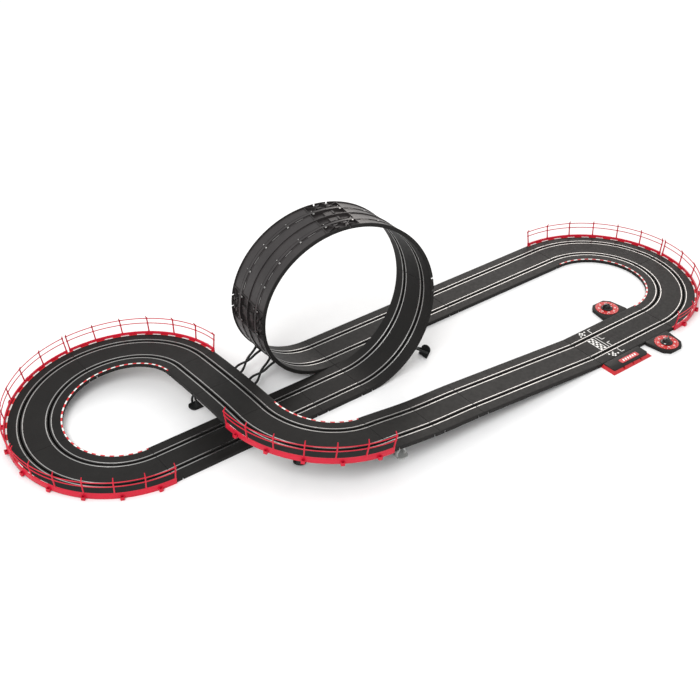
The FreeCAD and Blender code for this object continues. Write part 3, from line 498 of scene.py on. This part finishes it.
def strips(group, maker, length, steps):
    """The four strips of a deck: rounded top edges, ends bent down into the deck, tabs underneath."""
    shape = STRIP_SHAPES.setdefault(group, Shape())
    ends = ((0.5 * MM, -0.45 * MM), (1.1 * MM, -0.12 * MM), (2.2 * MM, 0.0))
    places = list(ends) + [(length * i / steps, 0.0) for i in range(1, steps)]
    places += [(length - along, drop) for along, drop in reversed(ends)]
    tabs = max(2, round(length / (QUARTER / 5)))
    for middle in (-LANE, LANE):
        for side in (-1, 1):
            centre = middle + side * STRIP
            section = [(-STRIP_HALF, -0.9 * MM), (-STRIP_HALF, 0.08 * MM),
                       (-STRIP_HALF + 0.25 * MM, STRIP_PROUD), (STRIP_HALF - 0.25 * MM, STRIP_PROUD),
                       (STRIP_HALF, 0.08 * MM), (STRIP_HALF, -0.9 * MM)]
            rings = []
            for along, drop in sorted(places):
                station = maker(along)
                rings.append([station.at(centre + left, up + drop) for left, up in section])
            shape.skin(rings, "steel")
            large = side > 0
            half = 1.7 * MM if large else 0.9 * MM
            under = -PANEL if "loop" in group else -SKIN
            for i in range(tabs):
                station = maker(length * (i + 0.5) / tabs)
                shape.block(station, centre - half, centre + half, under - 1.7 * MM, under - 0.3 * MM,
                            -half, half, "steel", 0.2 * MM)
                if large and i and "loop" in group:
                    row = [maker(length * (i - part / 10) / tabs) for part in (-1, 0, 1, 2)]
                    shape.skin([[station.at(centre + x, under + y) for x, y in
                                 ((-0.35 * MM, -0.3 * MM), (-0.35 * MM, -0.9 * MM), (0.35 * MM, -0.9 * MM),
                                  (0.35 * MM, -0.3 * MM))] for station in row], "steel")


# ---------------------------------------------------------------- guard rails

GUARD_IN = HALF + 0.4 * MM
GUARD_THICK = 2.4 * MM
GUARD_LOW = -7.7 * MM
GUARD_HIGH = 5 * MM
GUARD_LEAN = 6 * MM / (43 * MM)
RODS = (24 * MM, 35 * MM)
POSTS = 7
CLIPS = 5
RAIL_END = 1.6 * MM


def guard_rail(name, maker, side):
    """A clip-on rail along a quarter bend: beaded band, two rods, kinked posts and hollow clips."""
    shape = Shape()
    steps = 48
    row = [maker(RAIL_END + (QUARTER - 2 * RAIL_END) * i / steps) for i in range(steps + 1)]

    def sweep(outline):
        shape.skin([[station.at(side * out, up) for out, up in outline] for station in row], "guard_red")

    sweep(rounded_box(GUARD_IN, GUARD_IN + GUARD_THICK, GUARD_LOW, GUARD_HIGH - 0.3 * MM, 0.5 * MM))
    sweep(rounded_box(GUARD_IN - 0.1 * MM, GUARD_IN + GUARD_THICK + 0.5 * MM, GUARD_HIGH - 1.6 * MM,
                      GUARD_HIGH, 0.6 * MM))
    for level in RODS:
        centre = GUARD_IN + GUARD_THICK / 2 + GUARD_LEAN * level
        sweep([(centre + x, level + y) for x, y in circle(1.05 * MM, 8, math.pi / 8)])

    # height, how far out, half width along the rail and half thickness of a post
    root = GUARD_IN + GUARD_THICK / 2
    top_rod = RODS[1]
    path = [(GUARD_LOW + 1 * MM, root, 2.4 * MM, 1.5 * MM), (GUARD_HIGH - 1 * MM, root, 2.2 * MM, 1.5 * MM),
            (GUARD_HIGH + 2 * MM, root + GUARD_LEAN * GUARD_HIGH, 1.5 * MM, 1.2 * MM),
            (RODS[0], root + GUARD_LEAN * RODS[0], 1.35 * MM, 1.15 * MM),
            (top_rod, root + GUARD_LEAN * top_rod, 1.3 * MM, 1.2 * MM),
            (top_rod + 2 * MM, root + GUARD_LEAN * top_rod - 0.6 * MM, 1.2 * MM, 1.15 * MM),
            (43 * MM, root + GUARD_LEAN * top_rod - 4 * MM, 0.9 * MM, 0.9 * MM)]
    for i in range(POSTS):
        inset = RAIL_END + 1.5 * MM
        station = maker(inset + (QUARTER - 2 * inset) * i / (POSTS - 1))
        rings = []
        for up, out, half, thick in path:
            outline = rounded_box(-thick, thick, -half, half, 0.6 * min(half, thick), 2)
            rings.append([station.at(side * (out + x), up, y) for x, y in outline])
        shape.skin(rings, "guard_red")
        for level in RODS:
            centre = root + GUARD_LEAN * level
            shape.block(station, *sorted((side * (centre - 1.5 * MM), side * (centre + 1.5 * MM))),
                        level - 1.5 * MM, level + 1.5 * MM, -1.9 * MM, 1.9 * MM, "guard_red", 0.5 * MM)

    out, reach, half = GUARD_IN + GUARD_THICK - 0.2 * MM, 6.6 * MM, 4.0 * MM
    wall, floor, high = 1.5 * MM, 1.2 * MM, -0.8 * MM
    for i in range(CLIPS):
        station = maker(QUARTER * (i + 0.5) / CLIPS)
        outer = rounded_box(out, out + reach, -half, half, 1.0 * MM)
        inner = rounded_box(out + 0.4 * MM, out + reach - wall, -half + wall, half - wall, 0.4 * MM)
        rings = []
        for outline, up in ((inner, GUARD_LOW + floor), (inner, high), (outer, high),
                            (outer, GUARD_LOW)):
            rings.append([station.at(side * x, up, y) for x, y in outline])
        shape.skin(rings, "guard_red")
    piece(name + "_moulding", shape, [name])


# ---------------------------------------------------------------- legs

FOOT = 26 * MM
FOOT_THICK = 3 * MM
CAP_HIGH = 3 * MM
CAP_HALF = 11 * MM
CAP_WIDE = 4 * MM
BAR_HALF = 2.2 * MM
BAR_THICK = 2.0 * MM
WAVE = 2.0 * MM
SPREAD = 9 * MM
UNDER = -DEPTH - 0.3 * MM
LOOP_LEG_SLOPE = math.radians(32.5)


def wavy_bar(shape, foot, cap, across, spread, phase, look):
    """One bar of a leg, which sways from foot to cap and crosses its partner."""
    axis = (cap - foot).normalized()
    normal = axis.cross(across)
    length = (cap - foot).length
    steps = 28
    rings = []
    for i in range(steps + 1):
        part = i / steps
        sway = spread * math.cos(math.pi * part) + WAVE * math.sin(3 * math.pi * part)
        centre = foot + axis * (length * part) + across * (phase * sway)
        rings.append([centre + across * x + normal * y
                      for x, y in rounded_box(-BAR_HALF, BAR_HALF, -BAR_THICK, BAR_THICK, 0.7 * MM)])
    shape.skin(rings, look)


def foot_pad(shape, centre, outward, across, normal, look):
    """A foot with one round end: a thin plate with a raised rim."""
    def outline(inset):
        half, straight, steps = FOOT / 2 - inset, 0.3, 12
        row = [(-half, -half), (half, -half)]
        for i in range(steps + 1):
            angle = math.pi * i / steps
            row.append((half * math.cos(angle), half * (straight + (1 - straight) * math.sin(angle))))
        return row

    def ring(inset, up):
        return [centre + across * x + outward * y + normal * up for x, y in outline(inset)]

    shape.skin([ring(0.6 * MM, 0.0), ring(0.0, 0.6 * MM), ring(0.0, FOOT_THICK - 0.5 * MM),
                ring(0.5 * MM, FOOT_THICK), ring(2.0 * MM, FOOT_THICK),
                ring(2.6 * MM, FOOT_THICK - 0.9 * MM)], look)


def upright_leg(name, station, left, sign=1.0, look="leg_black"):
    """A leg under the ramp: a flat foot, two crossed wavy bars and a cap under the deck."""
    shape = Shape()
    across = Vector((station.forward.x, station.forward.y, 0)).normalized()
    outward = across.cross(Vector((0, 0, 1))) * -sign
    under = station.at(left, UNDER)
    base = Vector((under.x, under.y, 0))
    foot_pad(shape, base, outward, across, Vector((0, 0, 1)), look)
    low = base + Vector((0, 0, FOOT_THICK - 1.2 * MM))
    high = under - station.up * (CAP_HIGH - 0.5 * MM)
    spread = min(SPREAD, (high - low).length * 0.35)
    for phase in (-1, 1):
        wavy_bar(shape, low, high, across, spread, phase, look)
    shape.block(station, left - CAP_WIDE, left + CAP_WIDE, UNDER - CAP_HIGH, UNDER, -CAP_HALF, CAP_HALF,
                look, 0.6 * MM)
    piece(name + "_moulding", shape, [name])


def loop_leg(name, angle, left):
    """A slanting leg from the loop's underside out to a tilted foot on the floor."""
    shape = Shape()
    station = loop(0)(math.radians(angle) * LOOP)
    top = station.at(left, UNDER)
    away = -1.0 if angle < 180 else 1.0
    fall, out = math.sin(LOOP_LEG_SLOPE), math.cos(LOOP_LEG_SLOPE)
    run = Vector((away * out, 0, -fall))
    plate_side = Vector((away * fall, 0, out))
    foot = top + run * ((top.z - FOOT / 2 * out) / fall)
    across = Vector((0, 1, 0))
    foot_pad(shape, foot, plate_side, across, -run, "leg_black")
    low = foot - run * (FOOT_THICK - 1.2 * MM)
    high = top + run * (1.0 * MM)
    for phase in (-1, 1):
        wavy_bar(shape, low, high, across, SPREAD, phase, "leg_black")
    shape.block(station, left - CAP_HALF, left + CAP_HALF, UNDER - CAP_HIGH, UNDER, -CAP_WIDE, CAP_WIDE,
                "leg_black", 0.6 * MM)
    piece(name + "_moulding", shape, [name])


# ---------------------------------------------------------------- start section

COUNTER_EAST = EAST - GRID
COUNTER_REACH = 29 * MM
RING_OUTER = 26 * MM
RING_INNER = 13.5 * MM
PRINT = 0.06 * MM
LABEL_BARS = 6
KNOB_TURNS = {1: math.radians(-20), -1: math.radians(200)}


def inset_outline(corners, inset, radius, steps=6):
    """A convex outline moved in by inset, its corners rounded; corners run anticlockwise."""
    count = len(corners)
    moved = []
    for i in range(count):
        before = Vector(corners[i - 1]).to_2d()
        here = Vector(corners[i]).to_2d()
        after = Vector(corners[(i + 1) % count]).to_2d()
        first = (here - before).normalized()
        second = (after - here).normalized()
        normals = [Vector((-d.y, d.x)) for d in (first, second)]
        corner = here + (normals[0] + normals[1]) * (inset / (1 + normals[0].dot(normals[1])))
        moved.append((corner, first, second))
    row = []
    for corner, first, second in moved:
        turn = first.angle(second)
        size = max(radius - inset, 0.1 * MM)
        back = size * math.tan(turn / 2)
        start = corner - first * back
        centre = start + Vector((-first.y, first.x)) * size
        begin = math.atan2(start.y - centre.y, start.x - centre.x)
        for i in range(steps + 1):
            angle = begin + turn * i / steps
            row.append((centre.x + size * math.cos(angle), centre.y + size * math.sin(angle)))
    return row


def shell(shape, corners, radius, top, rows, look):
    """Skins a rounded outline through rows of inset and height above top."""
    rings = []
    for inset, up in rows:
        rings.append([Vector((x, y, top + up)) for x, y in inset_outline(corners, inset, radius)])
    shape.skin(rings, look)


def tab(shape, side):
    """A lap counter's tab: a plate with a skirt all round, wide at the deck and narrow at its tip."""
    centre = COUNTER_EAST
    root, tip, cut = 37 * MM, 29 * MM, 12 * MM
    edge = 0.5 * MM
    near = FRONT_LINE + side * (HALF - EDGE - edge)
    bevel = FRONT_LINE + side * (HALF + GRID - cut)
    far = FRONT_LINE + side * (HALF + GRID)
    corners = [(centre - root, near), (centre + root, near), (centre + tip, bevel),
               (centre + tip - cut, far), (centre - tip + cut, far), (centre - tip, bevel)]
    if side < 0:
        corners.reverse()
    skirt = -DEPTH + 0.3 * MM
    shell(shape, corners, 5 * MM, TOP,
          [(1.6 * MM, -SKIN), (1.6 * MM, skirt), (0.0, skirt), (0.0, -0.5 * MM), (0.15 * MM, -0.15 * MM),
           (edge, 0.0)], "track")


def flat_box(shape, west, east, first, second):
    """A white box printed on the deck, from west to east and between two places across the deck."""
    south, north = FRONT_LINE + min(first, second), FRONT_LINE + max(first, second)
    rings = [[Vector((x, y, up)) for x, y in ((west, south), (east, south), (east, north), (west, north))]
             for up in (TOP - PRINT, TOP + PRINT)]
    shape.skin(rings, "print_white")


def start_print():
    """Start line, grid brackets and loose squares, printed on the start section."""
    shape = Shape()
    thin = 1.4 * MM
    band, band_west = 17 * MM, EAST - 191 * MM
    margin = STRIP + 2 * MM
    half = LANE - margin
    for west in (band_west, band_west + band - thin, band_west + band + 6 * MM):
        flat_box(shape, west, west + thin, -half, half)
    check, columns, rows = 5 * MM, 3, 7
    for i in range(rows):
        for j in range(columns):
            if (i + j) % 2 == 0:
                west = band_west + 1.2 * MM + j * check
                middle = (2 * i + 1 - rows) * half / rows
                flat_box(shape, west, west + check, middle - check / 2, middle + check / 2)

    bracket_west, arm, foot = band_west + band + 14 * MM, 13 * MM, 9 * MM
    spot = 3.8 * MM
    for side in (-1, 1):
        for root, away in ((side * half, -side), (side * (LANE + margin), side)):
            tip = root + away * arm
            flat_box(shape, bracket_west, bracket_west + thin, root, tip)
            flat_box(shape, bracket_west, bracket_west + foot, tip, tip + away * thin)
        # places of the loose squares along and across, in squares
        for x, y in ((0, 1.2), (1, 3.2), (2, 2.2), (2, 4.2), (3, 1.2), (3, 3.2), (5, 3.4)):
            middle = side * (LANE + margin + y * spot)
            flat_box(shape, band_west + x * spot, band_west + (x + 1) * spot, middle - spot / 2,
                     middle + spot / 2)
    piece("start_print", shape, [])


def counter_ring(word, side):
    """The lap counter's printed ring, with ticks and plain numbers."""
    place = Vector((COUNTER_EAST, FRONT_LINE + side * (HALF + COUNTER_REACH), TOP))
    shape = Shape()
    top, ease = 0.9 * MM, 0.3 * MM
    rows = [(RING_INNER, 0.0), (RING_OUTER, 0.0), (RING_OUTER, top - ease), (RING_OUTER - ease, top),
            (RING_INNER + ease, top), (RING_INNER, top - ease)]
    rings = []
    for radius, up in rows + rows[:1]:
        rings.append([place + Vector((x, y, up)) for x, y in circle(radius, 96)])
    shape.skin(rings, "ring_red", ends=False)
    ticks, tick_end = 24, RING_OUTER - 1.0 * MM
    for i in range(ticks):
        angle = 2 * math.pi * i / ticks
        out = Vector((math.cos(angle), math.sin(angle), 0))
        across = Vector((-out.y, out.x, 0))
        long, half = (2.4 * MM, 0.4 * MM) if i % 3 == 0 else (1.4 * MM, 0.2 * MM)
        rings = []
        for up in (top - PRINT, top + PRINT):
            rings.append([place + out * r + across * w + Vector((0, 0, up))
                          for r, w in ((tick_end - long, -half), (tick_end, -half),
                                       (tick_end, half), (tick_end - long, half))])
        shape.skin(rings, "print_white")
    piece("counter_ring_" + word + "_print", shape, ["counter_ring_" + word])
    numbers = 8
    for i in range(numbers):
        angle = 2 * math.pi * i / numbers + math.radians(11)
        words = bpy.data.curves.new("number", "FONT")
        words.body = str(5 * (i + 1))
        words.size = 5.2 * MM
        words.extrude = PRINT
        words.offset = 0.12 * MM
        words.align_x = "CENTER"
        words.align_y = "CENTER"
        words.resolution_u = 4
        words.materials.append(FINISHES["print_white"])
        number = bpy.data.objects.new("counter_number_%s_%d" % (word, i + 1), words)
        bpy.context.scene.collection.objects.link(number)
        middle = RING_INNER + 4.6 * MM
        number.matrix_world = (Matrix.Translation(place + Vector((middle * math.cos(angle),
                                                                  middle * math.sin(angle), top)))
                               @ Matrix.Rotation(angle - math.pi / 2, 4, "Z"))
        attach(number, "circuit")


def lap_knob(word, side):
    """The turning knob: a stepped skirt, a domed hub, a tall grip and a white pointer."""
    place = Vector((COUNTER_EAST, FRONT_LINE + side * (HALF + COUNTER_REACH), TOP))
    turn = KNOB_TURNS[side]
    shape = Shape()
    profile = [(2.95, -4.6), (2.95, 0.3), (12.0, 0.3), (12.5, 0.7), (12.5, 1.5), (12.1, 1.9), (9.3, 2.5),
               (8.5, 3.2), (7.9, 6.8), (7.2, 8.2), (5.8, 9.0), (3.5, 9.3)]
    rings = []
    for radius, up in profile:
        rings.append([place + Vector((x, y, up * MM)) for x, y in circle(radius * MM, 64)])
    shape.skin(rings, "knob_black")
    forward = Vector((math.cos(turn), math.sin(turn), 0))
    station = Station(place, forward, Vector((-forward.y, forward.x, 0)))
    grip = []
    for up, half, back, ahead in ((2.0, 2.1, 11.2, 5.4), (8.5, 2.0, 10.8, 5.2), (10.6, 1.7, 9.8, 4.6),
                                  (11.2, 1.1, 9.0, 3.8)):
        outline = rounded_box(-back * MM, ahead * MM, -half * MM, half * MM, half * 0.9 * MM, 4)
        grip.append([station.at(y, up * MM, x) for x, y in outline])
    shape.skin(grip, "knob_black")
    pointer = []
    (low_radius, low), (high_radius, high) = profile[5:7]
    skirt_slope = (low - high) / (low_radius - high_radius)
    for up in (-0.3, 0.15):
        pointer.append([station.at(y * MM, (high + skirt_slope * (math.hypot(x, y) - high_radius) + up) * MM,
                                   x * MM) for x, y in ((9.2, -2.6), (12.0, 0.0), (9.2, 2.6))])
    shape.skin(pointer, "print_white")
    teeth = 24
    for i in range(teeth):
        angle = 2 * math.pi * i / teeth
        out = Vector((math.cos(angle), math.sin(angle), 0))
        tooth = Station(place + out * 12.3 * MM, out, Vector((-out.y, out.x, 0)))
        shape.block(tooth, -0.55 * MM, 0.55 * MM, 0.4 * MM, 1.7 * MM, -0.4 * MM, 0.45 * MM, "knob_black",
                    0.15 * MM)
    piece("lap_knob_" + word + "_moulding", shape, ["lap_knob_" + word],
          body="lap_counter_" + word)


def housing():
    """The housing's cover and label; its tray, sockets, board and screws are the CAD pieces."""
    cover_low, cover_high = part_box("housing_cover")
    shape = Shape()
    west, east = cover_low.x, cover_high.x
    south, north = cover_low.y, cover_high.y
    cut, rounding = 7 * MM, 3.5 * MM
    corners = [(west, south), (east - cut, south), (east, south + cut), (east, north), (west, north)]
    shell(shape, corners, rounding, cover_high.z,
          [(1.2 * MM, -1.9 * MM), (0.4 * MM, -2.0 * MM), (0.0, -1.6 * MM), (0.0, -0.6 * MM),
           (0.2 * MM, -0.2 * MM), (0.7 * MM, 0.0)], "housing_black")
    piece("housing_cover_moulding", shape, ["housing_cover"])

    label_low, label_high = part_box("label_plate")
    shape = Shape()
    corners = [(label_low.x, label_low.y), (label_high.x, label_low.y), (label_high.x, label_high.y),
               (label_low.x, label_high.y)]
    shell(shape, corners, rounding, label_high.z,
          [(0.0, -0.55 * MM), (0.0, -0.15 * MM), (0.15 * MM, 0.0)], "label_red")
    middle = (label_low + label_high) / 2
    for i in range(LABEL_BARS):
        left = middle.x + (i - LABEL_BARS / 2) * 7 * MM + 1.5 * MM
        wide, lean, half = 4 * MM, 2.0 * MM, 3.2 * MM
        low, high = middle.y - half, middle.y + half
        rings = []
        for up in (label_high.z - PRINT, label_high.z + PRINT):
            rings.append([Vector((left, low, up)), Vector((left + wide, low, up)),
                          Vector((left + wide + lean, high, up)), Vector((left + lean, high, up))])
        shape.skin(rings, "print_white")
    piece("label_plate_print", shape, ["label_plate"])


def dress_cad(name, look, edge=0.25 * MM):
    """Gives a shown CAD node its finish and eased edges."""
    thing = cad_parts[name]
    thing.data.materials.clear()
    thing.data.materials.append(FINISHES[look])
    modifier = thing.modifiers.new("edges", "BEVEL")
    modifier.width = edge
    modifier.segments = 2
    modifier.limit_method = "ANGLE"
    modifier.angle_limit = math.radians(35)


# ---------------------------------------------------------------- the whole circuit

RIGHT_CENTRE = FRONT_LINE + BEND
LEFT_CENTRE = EXIT_LINE + BEND
front_bend = bend(FRONT_START, RIGHT_CENTRE, -90, 1, RAMP[4][0])
STRAIGHT_STEPS = 2
SLOPE_STEPS = 16
DECKS = [
    ("start_section", "strips_front", line(EAST - START, FRONT_LINE, 0), START, STRAIGHT_STEPS, False),
    ("right_bend_front", "strips_right", bend(EAST, RIGHT_CENTRE, 0, 1), QUARTER, CURVE_STEPS, True),
    ("right_bend_back", "strips_right", bend(EAST, RIGHT_CENTRE, 90, 1), QUARTER, CURVE_STEPS, True),
    ("back_straight_right", "strips_back", line(EAST, BACK_LINE, 180), LONG, STRAIGHT_STEPS, False),
    ("back_straight_left", "strips_back", line(EAST - LONG, BACK_LINE, 180), LONG, STRAIGHT_STEPS, False),
    ("loop_entry", "strips_loop_up", loop(0), LOOP_QUARTER, CURVE_STEPS, False),
    ("loop_rise", "strips_loop_up", loop(1), LOOP_QUARTER, CURVE_STEPS, False),
    ("loop_fall", "strips_loop_down", loop(2), LOOP_QUARTER, CURVE_STEPS, False),
    ("loop_exit", "strips_loop_down", loop(3), LOOP_QUARTER, CURVE_STEPS, False),
    ("exit_straight", "strips_lower", line(LOOP_EAST, EXIT_LINE, 180), SHORT, STRAIGHT_STEPS, False),
    ("lower_straight", "strips_lower", line(LOOP_EAST - SHORT, EXIT_LINE, 180), LONG, STRAIGHT_STEPS, False),
    ("front_bend", "strips_flyover", front_bend, QUARTER, CURVE_STEPS, True),
    ("front_ramp_high", "strips_ramp", line(FRONT_START, FRONT_LINE, 0, RAMP[5][0]), SHORT, SLOPE_STEPS,
     False),
    ("front_ramp_middle", "strips_ramp", line(FRONT_START + SHORT, FRONT_LINE, 0, RAMP[6][0]), SHORT,
     SLOPE_STEPS, False),
    ("front_ramp_low", "strips_ramp", line(FRONT_START + 2 * SHORT, FRONT_LINE, 0, RAMP[7][0]), LONG,
     STRAIGHT_STEPS, False),
]
left_bends = [bend(LEFT_END, LEFT_CENTRE, 180 - 90 * i, -1, RAMP[i][0]) for i in range(3)]
for place_name, maker in zip(("low", "middle", "high"), left_bends):
    DECKS.append(("left_bend_" + place_name, "strips_left", maker, QUARTER, CURVE_STEPS, True))
flyovers = [line(FLYOVER_EAST, FLYOVER_START - i * SHORT, -90, RAMP[3][0] + i * SHORT) for i in range(2)]
for place_name, maker in zip(("back", "front"), flyovers):
    DECKS.append(("flyover_deck_" + place_name, "strips_flyover", maker, SHORT, SLOPE_STEPS, False))


def both_tabs(shape):
    for side in (-1, 1):
        tab(shape, side)


for name, group, maker, length, steps, curbs in DECKS:
    deck(name, maker, length, steps, curbs, both_tabs if name == "start_section" else None)
    strips(group, maker, length, steps)
for group, shape in STRIP_SHAPES.items():
    piece(group + "_metal", shape, [group])

for i, place_name in enumerate(("front", "back")):
    guard_rail("guard_rail_right_" + place_name, bend(EAST, RIGHT_CENTRE, 90 * i, 1), -1)
for place_name, maker in zip(("low", "middle", "high"), left_bends):
    guard_rail("guard_rail_left_" + place_name, maker, 1)
guard_rail("guard_rail_front", front_bend, -1)

flyover = flyovers[0](47 * MM)
upright_leg("flyover_leg_left", flyover, -25 * MM, -1)
upright_leg("flyover_leg_right", flyover, 25 * MM)
upright_leg("front_bend_leg", front_bend(110 * MM), 20 * MM, -1)
ramp_front = line(FRONT_START, FRONT_LINE, 0, RAMP[5][0])(46 * MM)
upright_leg("ramp_leg_outer", ramp_front, -22 * MM, -1, "leg_grey")
upright_leg("ramp_leg_inner", ramp_front, 22 * MM)
upright_leg("left_bend_leg_low", left_bends[1](215 * MM), 30 * MM)
upright_leg("left_bend_leg_high", left_bends[2](43 * MM), 30 * MM)
LOOP_LEG_ANGLE = 42.5
loop_leg("loop_leg_left_back", LOOP_LEG_ANGLE, -45.5 * MM)
loop_leg("loop_leg_left_front", LOOP_LEG_ANGLE, 6 * MM)
loop_leg("loop_leg_right", 360 - LOOP_LEG_ANGLE, 25.5 * MM)

start_print()
for word, side in (("inner", 1), ("outer", -1)):
    counter_ring(word, side)
    lap_knob(word, side)
    dress_cad("knob_screw_" + word, "steel")
housing()
dress_cad("base_tray", "tray_red", 0.5 * MM)
for word in ("power_socket", "control_socket_left", "control_socket_right"):
    dress_cad(word, "socket_black")
dress_cad("circuit_board", "board_green")
dress_cad("housing_screws", "steel")

# ---------------------------------------------------------------- stage, light and camera

def floor():
    mesh = bpy.data.meshes.new("floor")
    side = 30.0
    mesh.from_pydata([(-side, -side, 0), (side, -side, 0), (side, side, 0), (-side, side, 0)], [],
                     [(0, 1, 2, 3)])
    thing = bpy.data.objects.new("floor", mesh)
    bpy.context.scene.collection.objects.link(thing)
    mesh.materials.append(finish("floor", (0.93, 0.93, 0.93), 0.9, shade=0.01, specular=0.1))


def area_light(name, place, target, size, power, colour=(1, 1, 1)):
    light = bpy.data.lights.new(name, "AREA")
    light.size = size
    light.energy = power
    light.color = colour
    thing = bpy.data.objects.new(name, light)
    thing.location = place
    thing.rotation_euler = (Vector(target) - Vector(place)).to_track_quat("-Z", "Y").to_euler()
    bpy.context.scene.collection.objects.link(thing)


floor()
world = bpy.data.worlds.new("studio")
bpy.context.scene.world = world
world.use_nodes = True
world.node_tree.nodes["Background"].inputs["Color"].default_value = (1, 1, 1, 1)
world.node_tree.nodes["Background"].inputs["Strength"].default_value = 0.9
area_light("key", (-2.2, -1.2, 2.6), (0, 0, 0), 1.6, 60)
area_light("back", (2.6, 2.0, 1.8), (0.4, 0, 0), 1.8, 36, (1.0, 0.93, 0.88))
bpy.context.scene.view_settings.view_transform = "Standard"

CAMERA_AZIMUTH = math.radians(-34.71)
CAMERA_ELEVATION = math.radians(32.33)
CAMERA_ROLL = math.radians(-1.43)
CAMERA_PLACE = Vector((-1.3116, -1.6043, 1.4791))
camera = bpy.data.cameras.new("camera")
camera.sensor_width = 36
camera.lens = 59.76
camera.shift_x = 0.0625
camera.shift_y = -0.0860
camera.clip_start = 0.05
camera.clip_end = 100
view = bpy.data.objects.new("camera", camera)
back = Vector((math.sin(CAMERA_AZIMUTH) * math.cos(CAMERA_ELEVATION),
               -math.cos(CAMERA_AZIMUTH) * math.cos(CAMERA_ELEVATION), math.sin(CAMERA_ELEVATION)))
right = (-back).cross(Vector((0, 0, 1))).normalized()
up = back.cross(right)
rolled_right = right * math.cos(CAMERA_ROLL) + up * math.sin(CAMERA_ROLL)
rolled_up = up * math.cos(CAMERA_ROLL) - right * math.sin(CAMERA_ROLL)
turn = Matrix((rolled_right, rolled_up, back)).transposed().to_4x4()
view.matrix_world = Matrix.Translation(CAMERA_PLACE) @ turn
bpy.context.scene.collection.objects.link(view)
bpy.context.scene.camera = view
